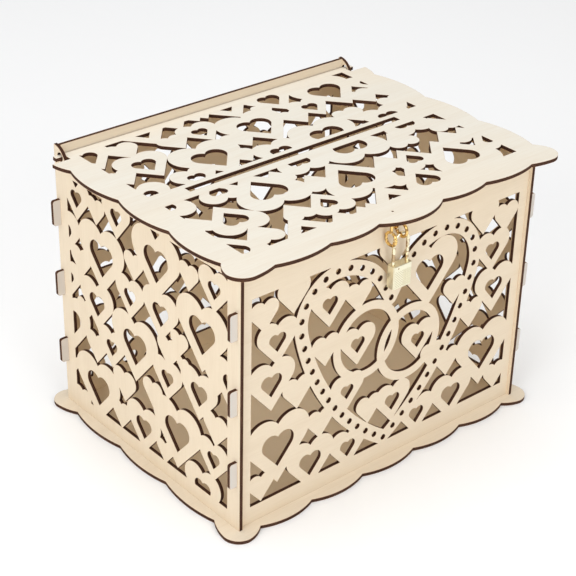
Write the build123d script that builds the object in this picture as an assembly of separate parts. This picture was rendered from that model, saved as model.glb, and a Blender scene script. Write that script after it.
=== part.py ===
from build123d import *
from math import asin, atan2, cos, degrees, hypot, radians, sin, sqrt
import os

# A wedding card box of laser-cut plywood. Millimetres, +Z up, X to the right along the
# front, Y towards the back. The origin is the centre of the base plate's underside.

# ---- driving dimensions: the box ----
box_width = 300.0          # over the outer faces of the side panels
box_depth = 232.0          # from the front edge to the rear edge of the side panels
ply = 3.0                  # thickness of every plywood piece
wall_top = 229.0           # height of the walls' top edges, where the lid lies
ear_rise = 10.5            # how far the back panel and the hinge ears stand above that
front_recess = 3.0         # front panel's face behind the side panels' front edge
back_recess = 2.0          # back panel's rear face in front of their rear edge
slot_clearance = 0.05      # gap around a tab in its slot, on each side

# ---- driving dimensions: tabs and slots ----
wall_tab_height = 22.0     # front and back panels' tabs through the side panels
wall_tab_reach = 7.0       # how far such a tab stands out past the side panel
wall_tab_rounding = 2.0    # its outer corners
wall_tab_lowest = 54.3     # height of the lowest tab's middle
wall_tab_drop = 47.0       # from the top edge down to the highest tab's middle
foot_tab_width = 22.0      # tabs at the walls' feet, through the base plate
foot_tab_offset_x = 70.0
foot_tab_offset_y = 62.0

# ---- driving dimensions: lattice openings ----
side_border = 15.0         # side panel: front and rear border
side_bottom = 15.3         # height of the opening's lower edge
side_top_border = 12.0     # from its upper edge to the wall's top
front_border = 9.5
front_bottom = 18.0
front_top_border = 29.5
back_rail = 8.0            # between the back panel's two rows of lattice
back_top_border = 19.0
smallest_gap_area = 5.0    # gaps between hearts smaller than this are left uncut
pierced_scale = 1.5        # a pierced heart is this many times its hole wide ...
pierced_margin = 15.0      # ... plus this much

# ---- driving dimensions: the base plate ----
base_side_overhang = 6.2   # from the side panels to the line of the scallops' cusps
base_front_overhang = 4.5
base_side_bulge = 4.0
base_front_bulge = 5.5
base_lobe_reach = (6.8, 7.5)

# ---- driving dimensions: the lid ----
lid_side_overhang = 8.0
lid_front_overhang = 12.5
lid_side_bulge = 5.0
lid_front_bulge = 4.0
lid_middle_bulge = 10.5
lid_lobe_reach = (7.0, 4.0)
lobe_corner_radius = 14.0
card_slot_length = 216.0
card_slot_width = 7.0
lid_rear_rail = 8.5        # from the card slot's middle line to the rear lattice opening
lid_front_rail = 12.0      # and to the front one
lid_rear_border = 14.5     # from the rear lattice opening to the side panels' rear edge
lid_side_border = 12.0     # from the lattice openings to the side panels' outer faces

# ---- driving dimensions: the lid's hinge ----
ear_radius = 15.2
hinge_inset = 8.3          # from the side panels' rear edge to the axis of the hinge tabs
hinge_tab_width = 4.6
hinge_tab_reach = 5.0      # past the ear's outer face
hinge_hole_rise = 0.6      # hole's centre above the tabs' axis
hinge_clearance = 0.35     # left around a tab as it turns in its hole
ear_side_gap = 0.5         # lid to the inner face of an ear
ear_notch_gap = 9.3        # hinge axis to the edge of the lid's notch round the ear

# ---- driving dimensions: screw eyes and padlock ----
eye_wire = 2.4
eye_ring_diameter = 10.6   # to the middle of the wire
eye_collar_diameter = 4.6
eye_collar_thickness = 0.8
eye_shank_diameter = 1.8
eye_neck = 0.6             # front eye: between the collar and the ring
front_eye_drop = 16.0      # ring's centre below the walls' top
lid_eye_x = -11.2
lid_eye_y = -120.0
lid_eye_drop = 20.0
lid_eye_shank = 2.6        # length screwed into the lid
front_eye_shank = 4.5      # length screwed through the front panel
pilot_hole_clearance = 0.02
lock_width, lock_thickness, lock_height = 18.6, 8.0, 19.6
shackle_wire = 2.8
shackle_spacing = 14.2     # between the middles of the shackle's legs
shackle_gap = 25.0         # from the lock's top to the middle of the shackle's crown
running_clearance = 0.05
heel_depth = 14.5          # length of the fixed leg inside the lock
toe_depth = 4.5            # length of the free leg inside the lock
heel_bore_depth = 18.0
toe_bore_depth = 6.0
plug_diameter = 5.5
plug_length = 11.0
keyway_width, keyway_height, keyway_depth = 0.9, 3.6, 8.0
spring_wire = 0.3
spring_turns = 4
spring_gap = 0.1           # between the coil and the bore
rivet_diameter = 1.3
rivet_length = 1.5
groove_width = 0.55
groove_depth = 0.2
groove_pitch = 2.0

# ---- worked out from the driving dimensions ----
half_width = box_width / 2
half_depth = box_depth / 2
inner_half_width = half_width - ply
ear_top = wall_top + ear_rise
front_face_y = -half_depth + front_recess
back_face_y = half_depth - back_recess - ply
wall_tab_top = wall_top - wall_tab_drop
wall_tab_heights = (wall_tab_lowest, (wall_tab_lowest + wall_tab_top) / 2, wall_tab_top)
hinge_y = half_depth - hinge_inset
hinge_z = wall_top + ply / 2
hinge_hole_radius = hypot(hinge_tab_width, ply) / 2 + hinge_hole_rise + hinge_clearance
eye_ring_radius = eye_ring_diameter / 2
front_eye_y = front_face_y - eye_collar_thickness - eye_neck - eye_ring_radius
front_eye_z = wall_top - front_eye_drop
crown_z = front_eye_z - eye_ring_radius + eye_wire / 2 + shackle_wire / 2 + running_clearance
lock_top = crown_z - shackle_gap
lock_bottom = lock_top - lock_height
lock_front_y = front_eye_y - lock_thickness / 2

# ---- the patterns: drawn for these sizes and stretched when the box's sizes change ----
drawn_width, drawn_depth = 300.0, 232.0
base_front_cusps = (-133.0, -81.5, -28.0, 28.0, 81.5, 133.0)
base_side_cusps = (-93.0, -31.0, 31.0, 93.0)
lid_front_cusps = (-130.0, -79.0, -32.5, 32.5, 79.0, 130.0)
lid_side_cusps = (-104.0, -44.0, 18.0, 81.0)
# openings that the hearts below were placed in: x from, x to, y from, y to
side_drawing = (-101.0, 101.0, 16.5, 217.0)
front_drawing = (-137.5, 137.5, 19.5, 199.5)
lid_drawing = (-138.0, 138.0, 8.5, 100.5)
lid_front_shift = -3.0     # the front half is the rear half mirrored and moved this far in X

# hearts: (x, y, width); a pierced heart's width is the width of its hole
side_pierced_hearts = (
    (88, 202, 15), (34, 207.4, 14.5), (-16, 188.5, 30), (-86, 198.5, 14.3), (56, 162, 31),
    (-71.4, 153.6, 31), (-20.5, 148, 20), (19, 145.3, 15), (65, 117.5, 20.5),
    (14.3, 101.7, 30.5), (-27.7, 95, 15), (-67.2, 100.8, 20), (46.4, 86.7, 14.5),
    (104.6, 83.7, 27.6), (68.4, 36, 31), (5.4, 32, 20.4), (-39, 49, 31), (-84.4, 51, 14.8),
    (-70.8, 15, 20), (107.5, 166, 20), (105, 125, 15), (-16, 220, 20), (88, 222, 20),
    (-106, 127, 20),
)
side_solid_hearts = (
    (61.4, 202, 24), (-56, 196.5, 24), (12.8, 175, 25), (85.4, 147.5, 28), (-43.6, 134, 22),
    (-29.6, 120, 28), (68.4, 76.6, 29), (30.4, 60, 31), (-8, 72, 26), (-87, 80.5, 30),
    (36.4, 29, 27), (-88.6, 126, 30), (-22.6, 25, 22), (93, 14, 25),
    (83, 105, 22), (101, 46, 14), (-47.5, 117, 16),
)
front_pierced_hearts = (
    (-113.1, 155.2, 15.8), (-118.2, 120, 19.6), (-110.9, 60.7, 31), (-77.9, 32.4, 21.8),
    (-38.8, 29.7, 15.6), (36.5, 29.5, 15.8), (75.8, 32, 21.6), (109, 59.6, 31),
    (116.8, 119, 19.6), (111.2, 154.8, 15.6),
)
front_solid_hearts = (
    (-126, 181.5, 27), (124, 181.5, 27), (-98.5, 189, 31), (98.5, 189, 31), (-93, 104, 29),
    (-69, 66, 27), (-127, 33, 26), (128, 31, 26), (91, 105, 27), (68, 68, 27), (0, 191, 30),
)
motif_pierced_hearts = (
    (-63, 168.7, 15), (40, 160, 30), (-42, 84, 13), (7.8, 54.3, 15.6), (-33, 123, 14),
    (32, 103, 14),
)
motif_solid_hearts = (
    (-34.5, 166, 27), (70, 134, 25), (-66, 131, 28), (-18, 58, 27), (49, 82, 25),
)
lid_pierced_hearts = (
    (100, 75, 31.5), (6.6, 55, 31.5), (-59, 30, 31.5), (-107, 52.3, 20.7), (-36.5, 75, 14.5),
    (67, 59.4, 15), (49.4, 90.5, 21), (43, 7.5, 31), (-89, 10.6, 15.5), (-7.5, 6.5, 20),
    (107, 4.5, 20.5), (-137.5, 7, 20), (-136, 89, 21), (142, 69, 15), (-76, 106.5, 30),
    (8.8, 107.5, 30),
)
lid_solid_hearts = (
    (-106, 83, 30), (-64.5, 72, 27), (-134, 45, 28), (45, 52.5, 29), (-20, 45, 29),
    (118, 50, 30), (83, 27, 29), (131, 25, 28), (-37, 21, 24), (-44, 103, 28),
    (-15, 103, 20), (28, 103, 18), (68, 103, 22), (136, 50, 24), (33, 80, 20), (-24, 103, 20),
)

# ---- the dotted heart band and the two rings inside it, drawn in the front opening ----
band_cleft_z, band_tip_z = 153.5, 23.7
band_top = (55.0, 195.5)   # highest point of a lobe
band_inner_radius = 52.7   # from the cleft's straight side up to that point
band_shoulder_radius = 35.7
band_shoulder_end = -13.3  # degrees, where the shoulder passes into the long flank
band_half_width = 6.3
band_hole_diameter = 5.0
band_hole_pitch = 12.3
ring_radius = 34.0
ring_width = 7.5
ring_centres = ((-24.0, 124.0), (22.0, 106.0))


def heart(x, y, width):
    """A heart of two round lobes with straight flanks down to its point."""
    lobe = 0.28 * width
    lobe_x = 0.22 * width
    tip = (0, -0.485 * width)
    lobe_y = 0.485 * width - lobe
    rise = lobe_y - tip[1]
    reach = hypot(lobe_x, rise)
    lean = atan2(lobe_x, rise) + asin(lobe / reach)
    flank = sqrt(reach**2 - lobe**2)
    shoulder = (flank * sin(lean), tip[1] + flank * cos(lean))
    crown = (lobe_x + lobe * cos(radians(60)), lobe_y + lobe * sin(radians(60)))
    cleft = (0, lobe_y + sqrt(lobe**2 - lobe_x**2))
    right = [Line(tip, shoulder), ThreePointArc(shoulder, crown, cleft)]
    left = [mirror(edge, Plane.YZ) for edge in right]
    return Pos(x, y) * make_face(Curve(children=right + left))


def rectangle(x_low, x_high, y_low, y_high):
    centre = Pos((x_low + x_high) / 2, (y_low + y_high) / 2)
    return centre * Rectangle(x_high - x_low, y_high - y_low)


def stretch(drawing, opening):
    """How much wider and higher an opening is than the one its hearts were drawn in."""
    return ((opening[1] - opening[0]) / (drawing[1] - drawing[0]),
            (opening[3] - opening[2]) / (drawing[3] - drawing[2]))


def placed(hearts, drawing, opening, grow):
    """Hearts of a drawing carried over to an opening, their widths times grow."""
    wider, higher = stretch(drawing, opening)
    middle = (opening[0] + opening[1] - drawing[0] - drawing[1]) / 2
    return [(x * wider + middle, opening[2] + (y - drawing[2]) * higher, width * grow)
            for x, y, width in hearts]


def widened(pierced):
    """Pierced hearts with the width of their outside in place of that of their hole."""
    return tuple((x, y, pierced_scale * width + pierced_margin) for x, y, width in pierced)


def lattice_gaps(opening, drawing, pierced, solid, extra=()):
    """What is cut away inside an opening, between and inside its hearts."""
    factors = stretch(drawing, opening)
    bodies = placed(solid + widened(pierced), drawing, opening, max(factors))
    window = rectangle(*opening)
    uncut = window - [heart(*body) for body in bodies] - list(extra)
    holes = Sketch() + [heart(*hole) for hole in placed(pierced, drawing, opening, min(factors))]
    gaps = uncut + (holes & window)
    return Sketch() + [face for face in gaps.faces() if face.area > smallest_gap_area]


def in_one_piece(sheet):
    """The sheet without loose scraps that hang on nothing."""
    return sheet.faces().sort_by(SortBy.AREA)[-1]


def on_circle(centre, radius, angle):
    """The point of a circle at an angle in degrees, counted from +X."""
    return (centre[0] + radius * cos(radians(angle)), centre[1] + radius * sin(radians(angle)))


def band_centreline():
    """Right half of the band's middle line, from the cleft over the lobe to the point."""
    top_x, top_z = band_top
    inner = (top_x, top_z - band_inner_radius)
    rise = band_cleft_z - inner[1]
    lean = degrees(asin(band_inner_radius / hypot(top_x, rise)) - atan2(rise, top_x))
    inner_end = on_circle(inner, band_inner_radius, 90 + lean)
    inner_middle = on_circle(inner, band_inner_radius, 90 + lean / 2)
    shoulder = (top_x, top_z - band_shoulder_radius)
    shoulder_middle = on_circle(shoulder, band_shoulder_radius, (90 + band_shoulder_end) / 2)
    outer_end = on_circle(shoulder, band_shoulder_radius, band_shoulder_end)
    outward = radians(band_shoulder_end)
    return [
        Line((0, band_cleft_z), inner_end),
        ThreePointArc(inner_end, inner_middle, band_top),
        ThreePointArc(band_top, shoulder_middle, outer_end),
        TangentArc(outer_end, (0, band_tip_z), tangent=(sin(outward), -cos(outward))),
    ]


def heart_band():
    right = band_centreline()
    left = [mirror(edge, Plane.YZ) for edge in right]
    middle = make_face(Curve(children=right + left))
    return offset(middle, band_half_width) - offset(middle, -band_half_width)


def band_holes():
    """The row of round holes along the band."""
    path = Wire([edge.edge() for edge in band_centreline()])
    count = round(path.length / band_hole_pitch)
    points = [path @ (step / count) for step in range(count + 1)]
    places = [(point.X, point.Y) for point in points]
    places += [(-point.X, point.Y) for point in points[1:-1]]
    return [Pos(*place) * Circle(band_hole_diameter / 2) for place in places]


def ring(centre):
    return Pos(*centre) * (Circle(ring_radius) - Circle(ring_radius - ring_width))


def fit_motif(shape, opening):
    """Scale what was drawn in the front opening evenly, about the middle of its lower edge."""
    grow = min(stretch(front_drawing, opening))
    return Pos(0, opening[2]) * scale(Pos(0, -front_drawing[2]) * shape, grow)


def stand_up(face, y):
    """A face drawn in X and Z as an upright sheet whose front is at y."""
    rear = Plane((0, y + ply, 0), x_dir=(1, 0, 0), z_dir=(0, -1, 0))
    return extrude(rear * face, ply)


def foot_tabs(offset):
    """Two tabs at a wall's foot, through the base plate."""
    half = foot_tab_width / 2
    return [rectangle(middle - half, middle + half, 0, ply) for middle in (-offset, offset)]


def wall_tabs():
    """The tabs at both ends of the front or back panel."""
    reach = half_width + wall_tab_reach
    half = wall_tab_height / 2
    tabs = []
    for z in wall_tab_heights:
        tab = rectangle(inner_half_width, reach, z - half, z + half)
        tab = fillet(tab.vertices().sort_by(Axis.X)[-2:], wall_tab_rounding)
        tabs += [tab, mirror(tab, Plane.YZ)]
    return tabs


def make_front_panel():
    sheet = rectangle(-inner_half_width, inner_half_width, ply, wall_top)
    edge = inner_half_width - front_border
    opening = (-edge, edge, front_bottom, wall_top - front_top_border)
    motif = [heart_band()] + [ring(centre) for centre in ring_centres]
    motif += [heart(*place) for place in motif_solid_hearts + widened(motif_pierced_hearts)]
    motif = [fit_motif(shape, opening) for shape in motif]
    holes = [heart(*place) for place in motif_pierced_hearts] + band_holes()
    holes = [fit_motif(shape, opening) for shape in holes]
    gaps = lattice_gaps(opening, front_drawing, front_pierced_hearts, front_solid_hearts, motif)
    sheet = sheet - gaps - holes + wall_tabs() + foot_tabs(foot_tab_offset_x)
    panel = stand_up(in_one_piece(sheet), front_face_y)
    return panel - pilot_hole((0, front_face_y, front_eye_z), (0, 1, 0))


def make_back_panel():
    """Two rows of the lid's lattice, the upper one mirrored left to right."""
    sheet = rectangle(-inner_half_width, inner_half_width, ply, ear_top)
    edge = inner_half_width - front_border
    row = (wall_top - back_top_border - front_bottom - back_rail) / 2
    lower = (-edge, edge, front_bottom, front_bottom + row)
    upper = (-edge, edge, lower[3] + back_rail, lower[3] + back_rail + row)
    gaps = lattice_gaps(lower, lid_drawing, lid_pierced_hearts, lid_solid_hearts)
    gaps_above = mirror(lattice_gaps(upper, lid_drawing, lid_pierced_hearts, lid_solid_hearts), Plane.YZ)
    sheet = sheet - gaps - gaps_above + wall_tabs() + foot_tabs(foot_tab_offset_x)
    return stand_up(in_one_piece(sheet), back_face_y)


def make_side_panel(side):
    """side is -1 for the left panel and 1 for the right one, its mirror image."""
    sheet = rectangle(-half_depth, half_depth, ply, wall_top)
    corner = rectangle(half_depth - ear_radius, half_depth, wall_top - ear_radius, ear_top)
    ear = Pos(half_depth, ear_top - ear_radius) * Circle(ear_radius) & corner
    half = wall_tab_height / 2 + slot_clearance
    slots = [rectangle(y - slot_clearance, y + ply + slot_clearance, z - half, z + half)
             for y in (front_face_y, back_face_y) for z in wall_tab_heights]
    hole = Pos(hinge_y, hinge_z + hinge_hole_rise) * Circle(hinge_hole_radius)
    edge = half_depth - side_border
    opening = (-edge, edge, side_bottom, wall_top - side_top_border)
    gaps = lattice_gaps(opening, side_drawing, side_pierced_hearts, side_solid_hearts)
    sheet = sheet + ear + foot_tabs(foot_tab_offset_y) - slots - hole - gaps
    upright = Plane((side * half_width, 0, 0), x_dir=(0, 1, 0), z_dir=(1, 0, 0))
    return extrude(upright * in_one_piece(sheet), -side * ply)


def scallop(start, end, bulge):
    """An arc from one cusp to the next, bulging to the right of the way there."""
    along = Vector(*end) - Vector(*start)
    out = Vector(along.Y, -along.X).normalized() * bulge
    return ThreePointArc(start, (Vector(*start) + Vector(*end)) / 2 + out, end)


def scallops(cusps, bulge):
    return [scallop(start, end, bulge) for start, end in zip(cusps, cusps[1:])]


def corner_lobe(side_cusp, front_cusp, reach):
    """The rounded lobe at a corner, from the side's last cusp to the front's first."""
    right = 1 if side_cusp[0] > 0 else -1
    back = 1 if front_cusp[1] > 0 else -1
    x = abs(side_cusp[0]) + reach[0]
    y = abs(front_cusp[1]) + reach[1]
    inset = lobe_corner_radius * (1 - cos(radians(45)))
    start = (right * x, back * (y - lobe_corner_radius))
    turn = (right * (x - inset), back * (y - inset))
    end = (right * (x - lobe_corner_radius), back * y)
    side_middle = (right * (x - reach[0] * 0.3), (side_cusp[1] + start[1]) / 2)
    front_middle = ((front_cusp[0] + end[0]) / 2, back * (y - reach[1] * 0.3))
    return [
        ThreePointArc(side_cusp, side_middle, start),
        ThreePointArc(start, turn, end),
        ThreePointArc(end, front_middle, front_cusp),
    ]


def cusp_rows(side_x, front_y, side_cusps, front_cusps):
    """Cusps along the front, the right and the left edge, all going round anticlockwise."""
    wider = box_width / drawn_width
    deeper = box_depth / drawn_depth
    front = [(x * wider, -front_y) for x in front_cusps]
    right = [(side_x, y * deeper) for y in side_cusps]
    left = [(-side_x, y * deeper) for y in reversed(side_cusps)]
    return front, right, left


def make_base_plate():
    cusp_y = half_depth + base_front_overhang
    front, right, left = cusp_rows(
        half_width + base_side_overhang, cusp_y, base_side_cusps, base_front_cusps)
    rear = [(x, cusp_y) for x, y in reversed(front)]
    edges = scallops(front, base_front_bulge) + scallops(rear, base_front_bulge)
    edges += scallops(right, base_side_bulge) + scallops(left, base_side_bulge)
    for side_cusp, front_cusp in ((left[-1], front[0]), (right[0], front[-1]),
                                  (right[-1], rear[0]), (left[0], rear[-1])):
        edges += corner_lobe(side_cusp, front_cusp, base_lobe_reach)
    plate = make_face(Curve(children=edges))
    half = foot_tab_width / 2 + slot_clearance
    across = (-slot_clearance, ply + slot_clearance)
    for face_y in (front_face_y, back_face_y):
        for x in (-foot_tab_offset_x, foot_tab_offset_x):
            plate -= rectangle(x - half, x + half, face_y + across[0], face_y + across[1])
    for face_x in (-half_width, inner_half_width):
        for y in (-foot_tab_offset_y, foot_tab_offset_y):
            plate -= rectangle(face_x + across[0], face_x + across[1], y - half, y + half)
    return extrude(plate, ply)


def lid_rear_edge(last_cusp, side):
    """From the side's last cusp round the ear notch and the hinge tab to the middle."""
    lobe_x = side * (abs(last_cusp[0]) + lid_side_bulge)
    notch_x = side * (inner_half_width - ear_side_gap)
    tab_x = side * (half_width + hinge_tab_reach)
    notch_y = hinge_y - ear_notch_gap
    tab_front = hinge_y - hinge_tab_width / 2
    tab_rear = hinge_y + hinge_tab_width / 2
    bend = (side * (abs(last_cusp[0]) + lid_side_bulge * 0.7), (last_cusp[1] + notch_y) / 2)
    return [
        ThreePointArc(last_cusp, bend, (lobe_x, notch_y)),
        Polyline((lobe_x, notch_y), (notch_x, notch_y), (notch_x, tab_front),
                 (tab_x, tab_front), (tab_x, tab_rear), (0, tab_rear)),
    ]


def lid_outline():
    front, right, left = cusp_rows(
        half_width + lid_side_overhang, half_depth + lid_front_overhang, lid_side_cusps, lid_front_cusps)
    middle = len(front) // 2
    edges = scallops(front[:middle], lid_front_bulge) + scallops(front[middle:], lid_front_bulge)
    edges += scallops(front[middle - 1:middle + 1], lid_middle_bulge)
    edges += scallops(right, lid_side_bulge) + scallops(left, lid_side_bulge)
    edges += corner_lobe(left[-1], front[0], lid_lobe_reach)
    edges += corner_lobe(right[0], front[-1], lid_lobe_reach)
    edges += lid_rear_edge(right[-1], 1) + lid_rear_edge(left[0], -1)
    return make_face(Curve(children=edges))


def make_lid():
    edge = half_width - lid_side_border
    opening = (-edge, edge, lid_rear_rail, half_depth - lid_rear_border)
    gaps = lattice_gaps(opening, lid_drawing, lid_pierced_hearts, lid_solid_hearts)
    moved = [tuple((x + lid_front_shift, y, width) for x, y, width in hearts)
             for hearts in (lid_pierced_hearts, lid_solid_hearts)]
    front_gaps = mirror(lattice_gaps(opening, lid_drawing, *moved), Plane.XZ)
    front_gaps = Pos(0, lid_rear_rail - lid_front_rail) * front_gaps
    sheet = lid_outline() - Rectangle(card_slot_length, card_slot_width) - gaps - front_gaps
    lid = extrude(Pos(0, 0, wall_top) * in_one_piece(sheet), ply)
    return lid - pilot_hole((lid_eye_x, lid_eye_y, wall_top), (0, 0, 1))


def pilot_hole(start, direction):
    """The hole through the ply that a screw eye's shank is driven into."""
    radius = eye_shank_diameter / 2 + pilot_hole_clearance
    return extrude(Plane(start, z_dir=direction) * Circle(radius), ply)


def make_screw_eye(face_point, direction, shank_length, ring_distance):
    """A ring on a collar against the wood at face_point; direction points into the wood."""
    into_wood = Plane(face_point, z_dir=direction)
    out_of_wood = Plane(face_point, z_dir=[-value for value in direction])
    shank = extrude(into_wood * Circle(eye_shank_diameter / 2), shank_length)
    shank = chamfer(shank.faces().sort_by(Axis(face_point, direction))[-1].edges(), 0.4)
    collar = extrude(out_of_wood * Circle(eye_collar_diameter / 2), eye_collar_thickness)
    neck = extrude(out_of_wood * Circle(eye_wire / 2), ring_distance - eye_ring_radius)
    centre = Vector(*face_point) - Vector(*direction) * ring_distance
    loop = Plane(centre, z_dir=(1, 0, 0)) * Torus(eye_ring_radius, eye_wire / 2)
    return shank + collar + neck + loop


def make_front_screw_eye():
    face_point = (0, front_face_y, front_eye_z)
    return make_screw_eye(face_point, (0, 1, 0), front_eye_shank, front_face_y - front_eye_y)


def make_lid_screw_eye():
    face_point = (lid_eye_x, lid_eye_y, wall_top)
    return make_screw_eye(face_point, (0, 0, 1), lid_eye_shank, lid_eye_drop)


def upright_rod(x, z, diameter, length):
    """A rod of the lock going up from height z, or down when length is negative."""
    return extrude(Plane((x, front_eye_y, z)) * Circle(diameter / 2), length)


def make_padlock_shackle():
    radius = shackle_spacing / 2
    bend_z = crown_z - radius
    toe_end = (-radius, front_eye_y, lock_top - toe_depth)
    toe_bend = (-radius, front_eye_y, bend_z)
    heel_bend = (radius, front_eye_y, bend_z)
    heel_end = (radius, front_eye_y, lock_top - heel_depth)
    crown = ThreePointArc(toe_bend, (0, front_eye_y, crown_z), heel_bend)
    path = Wire([Edge.make_line(toe_end, toe_bend), crown.edge(), Edge.make_line(heel_bend, heel_end)])
    shackle = sweep(Plane(toe_end) * Circle(shackle_wire / 2), path=path)
    return chamfer(shackle.faces().filter_by(Axis.Z).edges(), 0.35)


def herringbone():
    """Shallow engraved lines on the lock's front, rising on both sides of its middle line."""
    border = 1.2
    low, high = lock_bottom + border, lock_top - 4.5
    edge = lock_width / 2 - border
    length = 2 * edge
    grooves = []
    for step in range(int((high - low + edge) / groove_pitch)):
        z = low - edge + (step + 0.5) * groove_pitch
        for side in (-1, 1):
            bar = Rot(0, 0, side * 45) * Rectangle(length, groove_width)
            half = rectangle(min(0, side * edge), max(0, side * edge), low, high)
            groove = Sketch() + (Pos(side * edge / 2, z + edge / 2) * bar)
            grooves += (half & groove).faces() if z + edge > low else []
    front = Plane((0, lock_front_y, 0), x_dir=(1, 0, 0), z_dir=(0, -1, 0))
    return extrude(front * (Sketch() + grooves), -groove_depth)


def rivet_plane():
    return Plane((-lock_width / 4, lock_front_y, lock_top - 2.2), x_dir=(1, 0, 0), z_dir=(0, -1, 0))


def make_padlock_body():
    block = Box(lock_width, lock_thickness, lock_height)
    block = fillet(block.edges().filter_by(Axis.Z), 1.2)
    block = fillet(block.faces().filter_by(Axis.Z).edges(), 0.6)
    body = Pos(0, front_eye_y, (lock_top + lock_bottom) / 2) * block
    bore = shackle_wire + 2 * running_clearance
    body -= upright_rod(shackle_spacing / 2, lock_top, bore, -heel_bore_depth)
    body -= upright_rod(-shackle_spacing / 2, lock_top, bore, -toe_bore_depth)
    plug_bore = plug_diameter + 2 * running_clearance
    body -= upright_rod(0, lock_bottom, plug_bore, plug_length + running_clearance)
    body -= extrude(rivet_plane() * Circle(rivet_diameter / 2 + pilot_hole_clearance), -rivet_length)
    return body - herringbone()


def make_padlock_rivet():
    return extrude(rivet_plane() * Circle(rivet_diameter / 2), -rivet_length)


def make_padlock_plug():
    plug = upright_rod(0, lock_bottom, plug_diameter, plug_length)
    underside = Plane((0, front_eye_y, lock_bottom))
    return plug - extrude(underside * Rectangle(keyway_width, keyway_height), keyway_depth)


def make_padlock_spring():
    """The coil under the fixed leg, standing on a flat bottom turn."""
    radius = shackle_wire / 2 + running_clearance - spring_gap - spring_wire / 2
    low = lock_top - heel_bore_depth + spring_wire / 2
    high = lock_top - heel_depth - spring_wire / 2 - running_clearance
    middle = Pos(shackle_spacing / 2, front_eye_y, low)
    helix = Helix(pitch=(high - low) / spring_turns, height=high - low, radius=radius)
    coil = sweep(Plane(helix @ 0, z_dir=helix % 0) * Circle(spring_wire / 2), path=helix)
    return middle * (coil + Torus(radius, spring_wire / 2))


nodes = {
    "base_plate": make_base_plate,
    "front_panel": make_front_panel,
    "back_panel": make_back_panel,
    "left_panel": lambda: make_side_panel(-1),
    "right_panel": lambda: make_side_panel(1),
    "lid": make_lid,
    "front_screw_eye": make_front_screw_eye,
    "lid_screw_eye": make_lid_screw_eye,
    "padlock_shackle": make_padlock_shackle,
    "padlock_body": make_padlock_body,
    "padlock_plug": make_padlock_plug,
    "padlock_rivet": make_padlock_rivet,
    "padlock_spring": make_padlock_spring,
}

os.makedirs("parts", exist_ok=True)
for name, make in nodes.items():
    solids = make().solids()
    if len(solids) != 1:
        raise ValueError(f"{name} came out as {len(solids)} solids")
    export_step(solids[0], f"parts/{name}.step")
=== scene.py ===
from math import cos, radians, sin

import bpy
from bpy.props import FloatProperty, FloatVectorProperty, PointerProperty
from mathutils import Matrix, Vector


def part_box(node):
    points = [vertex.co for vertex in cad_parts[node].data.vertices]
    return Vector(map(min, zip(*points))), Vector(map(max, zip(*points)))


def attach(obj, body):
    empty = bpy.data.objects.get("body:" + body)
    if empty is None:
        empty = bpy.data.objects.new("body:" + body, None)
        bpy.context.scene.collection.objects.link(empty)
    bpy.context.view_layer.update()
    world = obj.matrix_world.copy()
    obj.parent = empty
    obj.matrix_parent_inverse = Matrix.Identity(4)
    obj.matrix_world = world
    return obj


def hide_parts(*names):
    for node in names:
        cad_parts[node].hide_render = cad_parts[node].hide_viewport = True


bl_info = {
    "name": "Laser-cut Card Box",
    "version": (1, 0, 0),
    "blender": (4, 5, 0),
    "location": "3D View > Sidebar > Card Box",
    "description": "Finishes a laser-cut plywood card box with its hinged lid, screw eyes and padlock",
    "category": "Add Mesh",
}

# All sizes are metres. X runs to the right along the front, Y to the back, Z up.
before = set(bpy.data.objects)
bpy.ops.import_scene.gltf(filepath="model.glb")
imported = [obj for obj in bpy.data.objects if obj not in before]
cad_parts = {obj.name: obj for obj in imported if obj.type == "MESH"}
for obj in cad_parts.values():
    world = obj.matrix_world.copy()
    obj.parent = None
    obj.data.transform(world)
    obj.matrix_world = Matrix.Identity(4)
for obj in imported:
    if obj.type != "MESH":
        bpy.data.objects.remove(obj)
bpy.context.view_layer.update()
eye_low, eye_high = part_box("front_screw_eye")
EYE_WIRE = 0.0024

# The padlock's front is engraved. A surface that faces forward and starts this far behind the
# front face, within a band this deep, is the floor of a groove.
GROOVE_START = 0.00005
GROOVE_BAND = 0.0003
FACING_FORWARD = -0.5

# Where a normal's part along the thickness of a sheet is larger than this, the surface is veneer,
# and elsewhere it is a cut.
FACE_SLOPE = 0.7

# Each plywood sheet: the axis through its thickness, the axis of its grain, and how warm and
# how light this sheet is compared with the others. These last two are partly the sheets' own tone and partly
# painted light: the lid cooler and lighter as lit from above, the left panel warmest as lit from the side.
SHEETS = {
    "base_plate": ("Z", "X", 0.60, 0.98),
    "front_panel": ("Y", "X", 0.80, 0.99),
    "back_panel": ("Y", "X", 0.75, 0.97),
    "left_panel": ("X", "Z", 0.85, 1.00),
    "right_panel": ("X", "Z", 0.80, 0.98),
    "lid": ("Z", "X", 0.00, 1.02),
}

# The hollow between the sheets, a touch larger, so that it takes in their inner faces.
SKIN = 0.0002
INTERIOR = (
    (
        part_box("left_panel")[1][0] - SKIN,
        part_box("front_panel")[1][1] - SKIN,
        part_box("base_plate")[1][2] - SKIN,
    ),
    (
        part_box("right_panel")[0][0] + SKIN,
        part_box("back_panel")[0][1] + SKIN,
        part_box("lid")[0][2] + SKIN,
    ),
)

# Each soft light: where it hangs, what it points at, the side of its square face, its power in
# watts, and its tint.
WHITE = (1.0, 1.0, 1.0)
DAYLIGHT = (0.97, 0.985, 1.0)
LIGHTS = {
    "overhead_light": ((-0.1, 0.25, 2.8), (0.0, 0.1, 0.2), 2.6, 29.0, DAYLIGHT),
    "left_light": ((-1.7, -0.5, 0.9), (0.0, 0.0, 0.12), 1.2, 14.4, WHITE),
    "front_light": ((-0.1, -1.9, 0.9), (0.0, 0.0, 0.12), 1.2, 12.1, WHITE),
}
FLOOR_REACH = 4.0
NEAREST_VIEW = 0.01

# The sensor is in millimetres, as the focal length of the lens is.
SENSOR_WIDTH = 36.0

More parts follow.
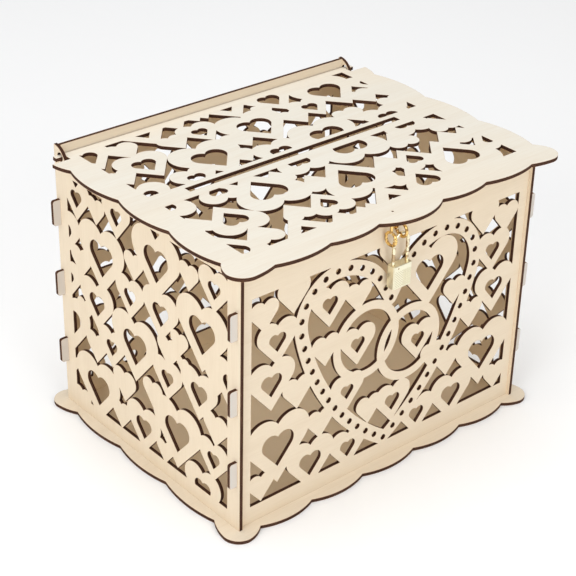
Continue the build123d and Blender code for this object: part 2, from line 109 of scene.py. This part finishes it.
# How finely a screw eye is made: sides round each of its tubes, and steps along them.
WIRE_SIDES, TURNED_SIDES, THREAD_SIDES = 20, 24, 6
BEND_STEPS, TURNED_STEPS, THREAD_STEPS = 64, 49, 24

# Shares of the shank's diameter: the radius of the wood screw's root and of its thread.
ROOT_SHARE, THREAD_SHARE = 0.40, 0.10
# Share of the root's radius at which the thread starts, at the tip.
TIP_SHARE = 0.3


# ---------------------------------------------------------------- settings


def colour(name, description, default):
    return FloatVectorProperty(
        name=name, description=description, subtype="COLOR", size=3, min=0.0, max=1.0, default=default)


def length(name, description, default):
    return FloatProperty(name=name, description=description, default=default, min=0.0, unit="LENGTH",
                         subtype="DISTANCE", precision=5)


class PlySettings(bpy.types.PropertyGroup):
    face_cool: colour("Pale face", "Colour of the palest veneer", (0.80, 0.76, 0.67))
    face_warm: colour("Warm face", "Colour of the warmest veneer", (0.82, 0.68, 0.50))
    fibre: colour("Fibres", "Darker fibres of the grain", (0.60, 0.44, 0.27))
    char: colour("Char", "Burnt wood of a laser cut", (0.028, 0.010, 0.006))
    core: colour("Core", "Lighter line of the middle ply in a cut", (0.115, 0.052, 0.030))
    toast: colour("Toast", "Scorched line where a cut meets a face", (0.46, 0.23, 0.10))
    # Painted fill light: a paler, warmer veneer inside the box that stands in for light reaching the
    # interior.
    painted_interior_light: colour("Lining", "Veneer inside the box, mellowed by smoke from the cuts", (0.88, 0.72, 0.50))
    # Painted highlight: a greyer tint on the tabs' faces that stands in for the cool highlight on them.
    painted_tab_highlight: colour("Tab", "Paler, greyer veneer on the tabs that stand out", (0.62, 0.59, 0.56))
    burn_width: length("Scorched line", "Width of the scorched line beside a cut", 0.00040)
    grain_pitch: length("Grain pitch", "Distance between the stronger fibres", 0.0011)


class EyeSettings(bpy.types.PropertyGroup):
    wire: length("Wire", "Diameter of the bent wire", EYE_WIRE)
    ring: length("Ring", "Diameter of the ring to the middle of the wire",
                 eye_high[2] - eye_low[2] - EYE_WIRE)
    opening: FloatProperty(name="Opening", description="Gap that the bend leaves before the shank",
                           subtype="ANGLE", default=radians(20))
    collar: length("Collar", "Diameter of the pressed collar", eye_high[0] - eye_low[0])
    collar_thickness: length("Collar thickness", "Thickness of the pressed collar", 0.0008)
    shank: length("Shank", "Diameter of the shank over its thread", 0.0018)
    thread_pitch: length("Thread pitch", "Distance from one turn of the thread to the next", 0.0007)


class BrassSettings(bpy.types.PropertyGroup):
    eye: colour("Screw eyes", "Amber gold plating of the two eyes", (0.95, 0.66, 0.24))
    shackle: colour("Shackle", "Paler gold plating of the shackle", (0.95, 0.88, 0.64))
    lock: colour("Lock", "Pale gold of the padlock's body", (0.94, 0.90, 0.70))
    # Painted reflection: laid in long patches over the eyes' and shackle's plating for dark surroundings
    # mirrored in them; also the whole rivet's colour.
    dark_metal_and_painted_reflection: colour("Worn", "Darker metal where the plating has worn", (0.34, 0.17, 0.05))
    dark: colour("Recess", "Dull brass deep in the engraving", (0.50, 0.42, 0.24))


class StageSettings(bpy.types.PropertyGroup):
    azimuth: FloatProperty(name="Azimuth", description="Turn of the camera round the box",
                           subtype="ANGLE", default=radians(-40.95))
    elevation: FloatProperty(name="Elevation", description="Height of the camera as an angle",
                             subtype="ANGLE", default=radians(29.88))
    roll: FloatProperty(name="Roll", description="Tilt of the camera", subtype="ANGLE",
                        default=radians(1.33))
    lens: FloatProperty(name="Lens", description="Focal length on a 36 mm wide sensor", default=98.74,
                        unit="CAMERA")
    camera_place: FloatVectorProperty(name="Camera", description="Where the camera stands", size=3,
                                      subtype="XYZ", unit="LENGTH", default=(-0.7426, -0.8483, 0.7568))
    floor: colour("Floor", "Colour of the floor", (0.98, 0.98, 0.98))
    world_strength: FloatProperty(name="Surroundings", description="Brightness of the white room",
                                  default=0.66, min=0.0)


# ---------------------------------------------------------------- node helpers


class Nodes:
    """Adds nodes to one tree and links them, so that a material reads as a list of steps."""

    def __init__(self, tree):
        self.tree = tree

    def add(self, kind, inputs=(), **settings):
        node = self.tree.nodes.new(kind)
        for name, value in settings.items():
            setattr(node, name, value)
        for key, value in dict(inputs).items():
            if isinstance(value, bpy.types.NodeSocket):
                self.tree.links.new(value, node.inputs[key])
            else:
                node.inputs[key].default_value = value
        return node

    def math(self, operation, a, b=0.0, clamp=False):
        node = self.add("ShaderNodeMath", {0: a, 1: b}, operation=operation, use_clamp=clamp)
        return node.outputs[0]

    def ramp(self, factor, stops):
        """stops: (position, grey) in order."""
        node = self.add("ShaderNodeValToRGB", {0: factor})
        elements = node.color_ramp.elements
        while len(elements) < len(stops):
            elements.new(1.0)
        for element, (position, value) in zip(elements, stops):
            element.position = position
            element.color = (value, value, value, 1.0)
        return node.outputs[0]

    def mix(self, factor, a, b, amount=1.0, blend="MIX"):
        """From a to b by factor, and no further than amount."""
        if amount != 1.0:
            factor = self.math("MULTIPLY", factor, amount)
        node = self.add("ShaderNodeMix", data_type="RGBA", blend_type=blend)
        for key, value in ((0, factor), (6, a), (7, b)):
            if isinstance(value, bpy.types.NodeSocket):
                self.tree.links.new(value, node.inputs[key])
            elif key == 0:
                node.inputs[key].default_value = value
            else:
                node.inputs[key].default_value = (*value, 1.0)
        return node.outputs[2]

    def noise(self, vector, scale, detail=2.0, roughness=0.5, distortion=0.0):
        node = self.add("ShaderNodeTexNoise", {
            "Vector": vector, "Scale": scale, "Detail": detail, "Roughness": roughness,
            "Distortion": distortion})
        return node.outputs["Fac"]


def new_material(name):
    """An empty node material and the helper that fills it."""
    material = bpy.data.materials.new(name)
    material.use_nodes = True
    material.node_tree.nodes.clear()
    return material, Nodes(material.node_tree)


def finish_material(nodes, **inputs):
    """Close a material with a shader; each input is named as its socket, with _ for a space."""
    sockets = {key.replace("_", " "): value for key, value in inputs.items()}
    shader = nodes.add("ShaderNodeBsdfPrincipled", sockets)
    nodes.add("ShaderNodeOutputMaterial", {"Surface": shader.outputs[0]})


def dress(node, material):
    """Give a CAD node's object a material in all its slots."""
    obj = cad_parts[node]
    if not obj.material_slots:
        obj.data.materials.append(material)
    for slot in obj.material_slots:
        slot.link = "OBJECT"
        slot.material = material


# ---------------------------------------------------------------- plywood


def sheet_vector(nodes, source, thickness_axis, grain_axis):
    """Coordinates of a sheet: X along the grain, Y across it, Z through the thickness."""
    parts = nodes.add("ShaderNodeSeparateXYZ", {0: source}).outputs
    across = ({"X", "Y", "Z"} - {thickness_axis, grain_axis}).pop()
    return [parts[axis] for axis in (grain_axis, across, thickness_axis)]


def within(nodes, place, low, high):
    """1 where a point lies in a box, 0 elsewhere."""
    parts = nodes.add("ShaderNodeSeparateXYZ", {0: place}).outputs
    mask = 1.0
    for axis in range(3):
        middle, half = (low[axis] + high[axis]) / 2, (high[axis] - low[axis]) / 2
        offset = nodes.math("ABSOLUTE", nodes.math("SUBTRACT", parts[axis], middle))
        mask = nodes.math("MULTIPLY", mask, nodes.math("LESS_THAN", offset, half))
    return mask


def plywood(node):
    """Laser-cut birch plywood: pale veneer on the faces, charred plies on the cuts."""
    ply = bpy.context.scene.card_box_ply
    thickness_axis, grain_axis, warmth_with_painted_light, lightness_with_painted_light = SHEETS[node]
    low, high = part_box(node)
    axis = "XYZ".index(thickness_axis)
    material, nodes = new_material(f"birch_ply_{node}")
    place = nodes.add("ShaderNodeTexCoord")
    along, across, through = sheet_vector(nodes, place.outputs["Object"], thickness_axis, grain_axis)
    facing = sheet_vector(nodes, place.outputs["Normal"], thickness_axis, grain_axis)[2]
    face = nodes.math("GREATER_THAN", nodes.math("ABSOLUTE", facing), FACE_SLOPE)
    thickness = high[axis] - low[axis]
    depth = nodes.math("DIVIDE", nodes.math("SUBTRACT", through, low[axis]), thickness, clamp=True)

    # veneer: long fibres, broad bands of tone, and small flecks along the grain
    on_face = nodes.add("ShaderNodeCombineXYZ", {0: nodes.math("MULTIPLY", along, 0.045), 1: across,
                                                 2: nodes.math("MULTIPLY", depth, 0.02)}).outputs[0]
    wander = nodes.add("ShaderNodeCombineXYZ", {0: nodes.math("MULTIPLY", along, 0.3), 1: across,
                                                2: nodes.math("MULTIPLY", depth, 0.1)}).outputs[0]
    fibres = nodes.noise(on_face, 1.0 / ply.grain_pitch, 3.0, 0.62, 0.15)
    bands = nodes.noise(on_face, 95.0, 2.0, 0.5, 0.4)
    patches = nodes.noise(wander, 14.0, 2.0, 0.5)
    flecks = nodes.noise(nodes.add("ShaderNodeCombineXYZ", {
        0: nodes.math("MULTIPLY", along, 0.12), 1: across, 2: 0.37}).outputs[0], 1500.0, 1.0, 0.4)
    fleck_mask = nodes.ramp(flecks, ((0.70, 0.0), (0.78, 1.0)))
    # painted light in part: each sheet's warmth also stands for the tint of the light falling on it
    tone = nodes.mix(warmth_with_painted_light, ply.face_cool, ply.face_warm)
    tone = nodes.mix(nodes.ramp(patches, ((0.35, 0.0), (0.75, 0.35))), tone, ply.face_warm)
    grain = nodes.math("ADD", nodes.math("MULTIPLY", nodes.ramp(fibres, ((0.42, 0.0), (0.72, 1.0))), 0.13),
                       nodes.math("MULTIPLY", nodes.ramp(bands, ((0.45, 0.0), (0.70, 1.0))), 0.10))
    grain = nodes.math("ADD", grain, nodes.math("MULTIPLY", fleck_mask, 0.10), clamp=True)
    veneer = nodes.mix(grain, tone, ply.fibre)
    # painted light in part: each sheet's lightness also stands for how much light falls on it
    veneer = nodes.mix(1.0, veneer, (lightness_with_painted_light,) * 3, blend="MULTIPLY")

    # painted fill light: paler, warmer veneer inside the box, where the lamps leave it darker; and a greyer
    # tint on the tabs past the side panels, a painted cool highlight
    veneer = nodes.mix(within(nodes, place.outputs["Object"], *INTERIOR), veneer, ply.painted_interior_light, 0.75)
    if thickness_axis == "Y":
        side = nodes.math("ABSOLUTE", along)
        on_tab = nodes.math("GREATER_THAN", side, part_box("right_panel")[1][0] + SKIN)
        # painted highlight: the tabs' faces are tinted greyer for the cool light that catches them
        veneer = nodes.mix(on_tab, veneer, ply.painted_tab_highlight, 0.8)

    # scorched line on the face beside every cut
    rounded = nodes.add("ShaderNodeBevel", {"Radius": ply.burn_width}, samples=6).outputs[0]
    flat = nodes.add("ShaderNodeNewGeometry").outputs["True Normal"]
    bend = nodes.add("ShaderNodeVectorMath", {0: rounded, 1: flat}, operation="DOT_PRODUCT").outputs["Value"]
    scorch = nodes.ramp(bend, ((0.80, 1.0), (0.995, 0.0)))
    veneer = nodes.mix(scorch, veneer, ply.toast)

    # cut: charred outer plies, a lighter middle ply, toasted skins, fine streaks through the sheet
    in_plane = nodes.add("ShaderNodeCombineXYZ", {
        0: along, 1: across, 2: nodes.math("MULTIPLY", depth, 0.0004)})
    streaks = nodes.noise(in_plane.outputs[0], 2600.0, 2.0, 0.6)
    scorched = nodes.noise(in_plane.outputs[0], 60.0, 2.0, 0.5)
    middle = nodes.ramp(depth, ((0.34, 0.0), (0.44, 1.0), (0.56, 1.0), (0.66, 0.0)))
    middle = nodes.math("MULTIPLY", middle, nodes.ramp(scorched, ((0.40, 0.15), (0.65, 1.0))))
    skin = nodes.ramp(depth, ((0.0, 1.0), (0.10, 0.15), (0.16, 0.0), (0.84, 0.0), (0.90, 0.15), (1.0, 1.0)))
    cut = nodes.mix(middle, ply.char, ply.core)
    cut = nodes.mix(skin, cut, ply.toast)
    cut = nodes.mix(nodes.ramp(streaks, ((0.35, 0.0), (0.75, 0.45))), cut, ply.core)

    shade = nodes.mix(face, cut, veneer)
    rough = nodes.math("ADD", nodes.math("MULTIPLY", fibres, 0.16), nodes.math("MULTIPLY", face, -0.16))
    rough = nodes.math("ADD", rough, 0.66)
    relief = nodes.mix(face, streaks, nodes.math("MULTIPLY", fibres, 0.35))
    bump = nodes.add("ShaderNodeBump", {"Strength": 0.25, "Distance": 0.0001, "Height": relief}).outputs[0]
    finish_material(nodes, Base_Color=shade, Roughness=rough, Normal=bump, Specular_IOR_Level=0.15)
    return material


class CARDBOX_OT_plywood(bpy.types.Operator):
    """Give every plywood sheet its veneer, grain and charred edges"""

    bl_idname = "card_box.plywood"
    bl_label = "Plywood Sheets"

    def execute(self, context):
        for node in SHEETS:
            dress(node, plywood(node))
        return {"FINISHED"}


# ---------------------------------------------------------------- brass


def plated_wire(name, plating):
    """Bright gold plating with long darker patches as a painted reflection of dark surroundings, and duller
    in small spots.
    """
    brass = bpy.context.scene.card_box_brass
    material, nodes = new_material(name)
    place = nodes.add("ShaderNodeTexCoord").outputs["Object"]
    # painted reflection: long dark patches that stand in for dark surroundings mirrored in the polished wire
    dark_metal_and_painted_reflection = nodes.ramp(nodes.noise(place, 330.0, 1.0, 0.4, 0.6), ((0.47, 0.0), (0.58, 0.75)))
    dull = nodes.noise(place, 1400.0, 3.0, 0.6)
    tone = nodes.mix(dark_metal_and_painted_reflection, plating, brass.dark_metal_and_painted_reflection)
    tone = nodes.mix(nodes.ramp(dull, ((0.45, 0.0), (0.75, 0.3))), tone, brass.dark)
    rough = nodes.ramp(dull, ((0.3, 0.07), (0.8, 0.20)))
    finish_material(nodes, Base_Color=tone, Metallic=1.0, Roughness=rough)
    return material


def lock_brass():
    """Pale gold lock body, brushed, darker in its engraved grooves."""
    brass = bpy.context.scene.card_box_brass
    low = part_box("padlock_body")[0]
    material, nodes = new_material("pale_gold_lock")
    place = nodes.add("ShaderNodeTexCoord")
    parts = nodes.add("ShaderNodeSeparateXYZ", {0: place.outputs["Object"]}).outputs
    stretched = nodes.add("ShaderNodeCombineXYZ", {
        0: nodes.math("MULTIPLY", parts[0], 0.05), 1: parts[1], 2: parts[2]}).outputs[0]
    brushed = nodes.noise(stretched, 7000.0, 2.0, 0.6)
    sunk = nodes.math("SUBTRACT", parts[1], low[1] + GROOVE_START)
    deep = nodes.math("MULTIPLY", nodes.math("GREATER_THAN", sunk, 0.0),
                      nodes.math("LESS_THAN", sunk, GROOVE_BAND))
    front = nodes.add("ShaderNodeSeparateXYZ", {0: place.outputs["Normal"]}).outputs[1]
    groove = nodes.math("MULTIPLY", deep, nodes.math("LESS_THAN", front, FACING_FORWARD))
    tone = nodes.mix(nodes.ramp(brushed, ((0.4, 0.0), (0.8, 0.25))), brass.lock, brass.dark)
    tone = nodes.mix(nodes.math("MULTIPLY", groove, 0.5), tone, brass.dark)
    rough = nodes.ramp(brushed, ((0.3, 0.26), (0.8, 0.42)))
    bump = nodes.add("ShaderNodeBump", {"Strength": 0.2, "Distance": 0.00003, "Height": brushed}).outputs[0]
    finish_material(nodes, Base_Color=tone, Metallic=1.0, Roughness=rough, Normal=bump)
    return material


def spring_wire():
    """Grey drawn steel, a little duller in spots."""
    material, nodes = new_material("drawn_spring_wire")
    place = nodes.add("ShaderNodeTexCoord").outputs["Object"]
    drawn = nodes.noise(place, 5000.0, 2.0, 0.5)
    tone = nodes.mix(drawn, (0.42, 0.43, 0.45), (0.58, 0.59, 0.61))
    rough = nodes.ramp(drawn, ((0.3, 0.2), (0.7, 0.4)))
    finish_material(nodes, Base_Color=tone, Metallic=1.0, Roughness=rough)
    return material


def eye_tree(wire_material):
    """Geometry nodes of a screw eye: its shank points down -Z from the wood's face at the
    origin, its ring stands above it in the plane of X and Z."""
    eye = bpy.context.scene.card_box_eye
    tree = bpy.data.node_groups.new("screw_eye", "GeometryNodeTree")
    tree.interface.new_socket("Geometry", in_out="OUTPUT", socket_type="NodeSocketGeometry")
    # the last two are set again for each eye, from where its wood is
    sizes = {"Wire": eye.wire, "Ring": eye.ring, "Opening": eye.opening, "Collar": eye.collar,
             "Collar Thickness": eye.collar_thickness, "Shank": eye.shank,
             "Thread Pitch": eye.thread_pitch, "Ring Height": 0.01, "Shank Length": 0.004}
    for name, value in sizes.items():
        socket = tree.interface.new_socket(name, in_out="INPUT", socket_type="NodeSocketFloat")
        socket.default_value = value
    nodes = Nodes(tree)
    given = nodes.add("NodeGroupInput").outputs
    half_wire = nodes.math("DIVIDE", given["Wire"], 2.0)
    half_ring = nodes.math("DIVIDE", given["Ring"], 2.0)

    def point(z):
        return nodes.add("ShaderNodeCombineXYZ", {2: z}).outputs[0]

    def tube(curve, radius, sides, scale=1.0):
        """A closed mesh along a curve, as wide as scale makes it from place to place."""
        profile = nodes.add("GeometryNodeCurvePrimitiveCircle", {"Resolution": sides, "Radius": radius})
        return nodes.add("GeometryNodeCurveToMesh", {
            "Curve": curve, "Profile Curve": profile.outputs[0], "Scale": scale,
            "Fill Caps": True}).outputs[0]

    def lathe(low, high, radius, stops):
        """A turned stretch of the axis; stops give its width along the way, 1 for the full radius."""
        line = nodes.add("GeometryNodeCurvePrimitiveLine", {"Start": point(low), "End": point(high)})
        steps = nodes.add("GeometryNodeResampleCurve", {"Curve": line.outputs[0], "Count": TURNED_STEPS})
        way = nodes.add("GeometryNodeSplineParameter").outputs["Factor"]
        return tube(steps.outputs[0], radius, TURNED_SIDES, nodes.ramp(way, stops))

    bend = nodes.add("GeometryNodeCurveArc", {
        "Resolution": BEND_STEPS, "Radius": half_ring, "Start Angle": radians(-90),
        "Sweep Angle": nodes.math("SUBTRACT", radians(360), given["Opening"])}).outputs[0]
    upright = nodes.add("GeometryNodeTransform", {
        "Geometry": bend, "Translation": point(given["Ring Height"]), "Rotation": (radians(90), 0.0, 0.0)})
    ring = tube(upright.outputs[0], half_wire, WIRE_SIDES)
    ring_foot = nodes.math("SUBTRACT", given["Ring Height"], half_ring)
    neck = lathe(0.0, ring_foot, half_wire, ((0.0, 1.0), (1.0, 1.0)))
    collar = lathe(0.0, given["Collar Thickness"], nodes.math("DIVIDE", given["Collar"], 2.0),
                   ((0.0, 0.90), (0.18, 1.0), (0.62, 1.0), (0.86, 0.90), (1.0, 0.66)))
    tip = nodes.math("MULTIPLY", given["Shank Length"], -1.0)
    root = nodes.math("MULTIPLY", given["Shank"], ROOT_SHARE)
    shank = lathe(tip, 0.0, root, ((0.0, 0.12), (0.22, 0.95), (1.0, 1.0)))
    spiral = nodes.add("GeometryNodeCurveSpiral", {
        "Resolution": THREAD_STEPS,
        "Rotations": nodes.math("DIVIDE", given["Shank Length"], given["Thread Pitch"]),
        "Start Radius": nodes.math("MULTIPLY", root, TIP_SHARE),
        "End Radius": root,
        "Height": given["Shank Length"]})
    coil = nodes.add("GeometryNodeTransform", {"Geometry": spiral.outputs[0], "Translation": point(tip)})
    thread_wire = nodes.math("MULTIPLY", given["Shank"], THREAD_SHARE)
    thread = tube(coil.outputs[0], thread_wire, THREAD_SIDES)
    joined = nodes.add("GeometryNodeJoinGeometry")
    for part in (ring, neck, collar, shank, thread):
        tree.links.new(part, joined.inputs[0])
    smooth = nodes.add("GeometryNodeSetShadeSmooth", {"Geometry": joined.outputs[0]}).outputs[0]
    real = nodes.add("GeometryNodeRealizeInstances", {"Geometry": smooth}).outputs[0]
    plated = nodes.add("GeometryNodeSetMaterial", {"Geometry": real, "Material": wire_material})
    nodes.add("NodeGroupOutput", {"Geometry": plated.outputs[0]})
    return tree


def grown(name, tree, values):
    """A plain mesh made by a geometry nodes tree with these values in its inputs."""
    seed = bpy.data.objects.new(name, bpy.data.meshes.new(name))
    bpy.context.collection.objects.link(seed)
    modifier = seed.modifiers.new("grow", "NODES")
    modifier.node_group = tree
    for socket in tree.interface.items_tree:
        if socket.in_out == "INPUT" and socket.name in values:
            modifier[socket.identifier] = values[socket.name]
    shape = seed.evaluated_get(bpy.context.evaluated_depsgraph_get())
    mesh = bpy.data.meshes.new_from_object(shape)
    seed.modifiers.remove(modifier)
    seed.data = mesh
    return seed


def screw_eye(node, body, tree, axis, face):
    """A bent-wire eye in place of a CAD one. Its shank points up the axis, into the wood,
    whose near face is at face along that axis."""
    eye = bpy.context.scene.card_box_eye
    low, high = (Vector(corner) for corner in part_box(node))
    into_wood = Vector([float(index == axis) for index in range(3)])
    face_point = (low + high) / 2
    face_point[axis] = face
    ring_height = face - low[axis] - (eye.ring + eye.wire) / 2
    piece = grown(f"{node}_wire", tree, {"Ring Height": ring_height, "Shank Length": high[axis] - face})
    side = Vector((0.0, 1.0, 0.0)) if axis == 2 else Vector((0.0, 0.0, 1.0))
    turn = Matrix((side, side.cross(into_wood), -into_wood)).transposed().to_4x4()
    piece.data.transform(Matrix.Translation(face_point) @ turn)
    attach(piece, body)
    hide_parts(node)


class CARDBOX_OT_screw_eyes(bpy.types.Operator):
    """Bend and plate the two screw eyes"""

    bl_idname = "card_box.screw_eyes"
    bl_label = "Screw Eyes"

    def execute(self, context):
        tree = eye_tree(plated_wire("amber_gold_plating", context.scene.card_box_brass.eye))
        screw_eye("front_screw_eye", "root", tree, 1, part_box("front_panel")[0][1])
        screw_eye("lid_screw_eye", "lid", tree, 2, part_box("lid")[0][2])
        return {"FINISHED"}


class CARDBOX_OT_padlock(bpy.types.Operator):
    """Finish the padlock's shackle, body, plug, rivet and spring"""

    bl_idname = "card_box.padlock"
    bl_label = "Padlock"

    def execute(self, context):
        body = lock_brass()
        dress("padlock_shackle", plated_wire("pale_gold_plating", context.scene.card_box_brass.shackle))
        for node in ("padlock_body", "padlock_plug"):
            dress(node, body)
        dress("padlock_rivet", plated_wire("worn_rivet", context.scene.card_box_brass.dark_metal_and_painted_reflection))
        dress("padlock_spring", spring_wire())
        return {"FINISHED"}


# ---------------------------------------------------------------- stage


def look_at(place, target):
    """A rotation whose -Z points from place to target, upright."""
    return (Vector(target) - Vector(place)).to_track_quat("-Z", "Y").to_matrix().to_4x4()


def soft_box(name, place, target, size, power, tint):
    """A square area light, hung at a place and turned to a target."""
    light = bpy.data.lights.new(name, "AREA")
    light.shape = "RECTANGLE"
    light.size, light.size_y = size, size
    light.energy = power
    light.color = tint
    obj = bpy.data.objects.new(name, light)
    obj.matrix_world = Matrix.Translation(place) @ look_at(place, target)
    bpy.context.collection.objects.link(obj)


def studio_world(settings):
    """A white room, dark at the horizon and below so that polished metal has contrast to mirror."""
    world = bpy.data.worlds.new("white_room")
    world.use_nodes = True
    world.node_tree.nodes.clear()
    nodes = Nodes(world.node_tree)
    direction = nodes.add("ShaderNodeTexCoord").outputs["Generated"]
    height = nodes.add("ShaderNodeSeparateXYZ", {0: direction}).outputs[2]
    tone = nodes.ramp(height, ((0.0, 0.16), (0.30, 0.22), (0.48, 1.0)))
    sky = nodes.add("ShaderNodeBackground", {"Color": tone, "Strength": settings.world_strength})
    nodes.add("ShaderNodeOutputWorld", {"Surface": sky.outputs[0]})
    bpy.context.scene.world = world


def studio_floor(settings):
    """A plain pale floor under the box."""
    mesh = bpy.data.meshes.new("studio_floor")
    corners = [(x * FLOOR_REACH, y * FLOOR_REACH, 0.0) for x, y in ((-1, -1), (1, -1), (1, 1), (-1, 1))]
    mesh.from_pydata(corners, [], [(0, 1, 2, 3)])
    floor = bpy.data.objects.new("studio_floor", mesh)
    bpy.context.collection.objects.link(floor)
    material, nodes = new_material("pale_floor")
    place = nodes.add("ShaderNodeTexCoord").outputs["Object"]
    speckle = nodes.noise(place, 30.0, 2.0, 0.5)
    tone = nodes.mix(nodes.math("MULTIPLY", speckle, 0.02), settings.floor, (0.8, 0.8, 0.8))
    finish_material(nodes, Base_Color=tone, Roughness=0.9)
    mesh.materials.append(material)


def studio_camera(settings):
    """A camera turned by the azimuth, elevation and roll of the settings."""
    azimuth, elevation, roll = settings.azimuth, settings.elevation, settings.roll
    forward = Vector((-sin(azimuth) * cos(elevation), cos(azimuth) * cos(elevation), -sin(elevation)))
    right = Vector((cos(azimuth), sin(azimuth), 0.0))
    up = right.cross(forward)
    tilted_right = right * cos(roll) + up * sin(roll)
    tilted_up = up * cos(roll) - right * sin(roll)
    camera = bpy.data.cameras.new("camera")
    camera.sensor_width = SENSOR_WIDTH
    camera.lens = settings.lens
    camera.clip_start = NEAREST_VIEW
    turn = Matrix((tilted_right, tilted_up, -forward)).transposed().to_4x4()
    obj = bpy.data.objects.new("camera", camera)
    obj.matrix_world = Matrix.Translation(settings.camera_place) @ turn
    bpy.context.collection.objects.link(obj)
    bpy.context.scene.camera = obj


class CARDBOX_OT_stage(bpy.types.Operator):
    """Set up the pale floor, the white room, the soft lights and the camera"""

    bl_idname = "card_box.stage"
    bl_label = "Studio Stage"

    def execute(self, context):
        settings = context.scene.card_box_stage
        context.scene.view_settings.view_transform = "Standard"
        studio_world(settings)
        studio_floor(settings)
        studio_camera(settings)
        for name, light in LIGHTS.items():
            soft_box(name, *light)
        return {"FINISHED"}


# ---------------------------------------------------------------- add-on


class CARDBOX_PT_panel(bpy.types.Panel):
    """Builds the card box's finish piece by piece"""

    bl_idname = "CARDBOX_PT_panel"
    bl_label = "Card Box"
    bl_space_type = "VIEW_3D"
    bl_region_type = "UI"
    bl_category = "Card Box"

    def draw(self, context):
        layout = self.layout
        for operator in OPERATORS:
            layout.operator(operator.bl_idname)
        for group in SETTINGS:
            box = layout.box()
            values = getattr(context.scene, group)
            for name in values.bl_rna.properties.keys():
                if name not in ("rna_type", "name"):
                    box.prop(values, name)


OPERATORS = (CARDBOX_OT_plywood, CARDBOX_OT_screw_eyes, CARDBOX_OT_padlock, CARDBOX_OT_stage)
SETTINGS = {"card_box_ply": PlySettings, "card_box_eye": EyeSettings, "card_box_brass": BrassSettings,
            "card_box_stage": StageSettings}


def register():
    for kind in (*SETTINGS.values(), *OPERATORS, CARDBOX_PT_panel):
        bpy.utils.register_class(kind)
    for name, kind in SETTINGS.items():
        setattr(bpy.types.Scene, name, PointerProperty(type=kind))


def unregister():
    for name in SETTINGS:
        delattr(bpy.types.Scene, name)
    for kind in (CARDBOX_PT_panel, *reversed(OPERATORS), *reversed(list(SETTINGS.values()))):
        bpy.utils.unregister_class(kind)


def main():
    register()
    bpy.ops.card_box.plywood()
    bpy.ops.card_box.screw_eyes()
    bpy.ops.card_box.padlock()
    bpy.ops.card_box.stage()


if __name__ == "__main__":
    main()
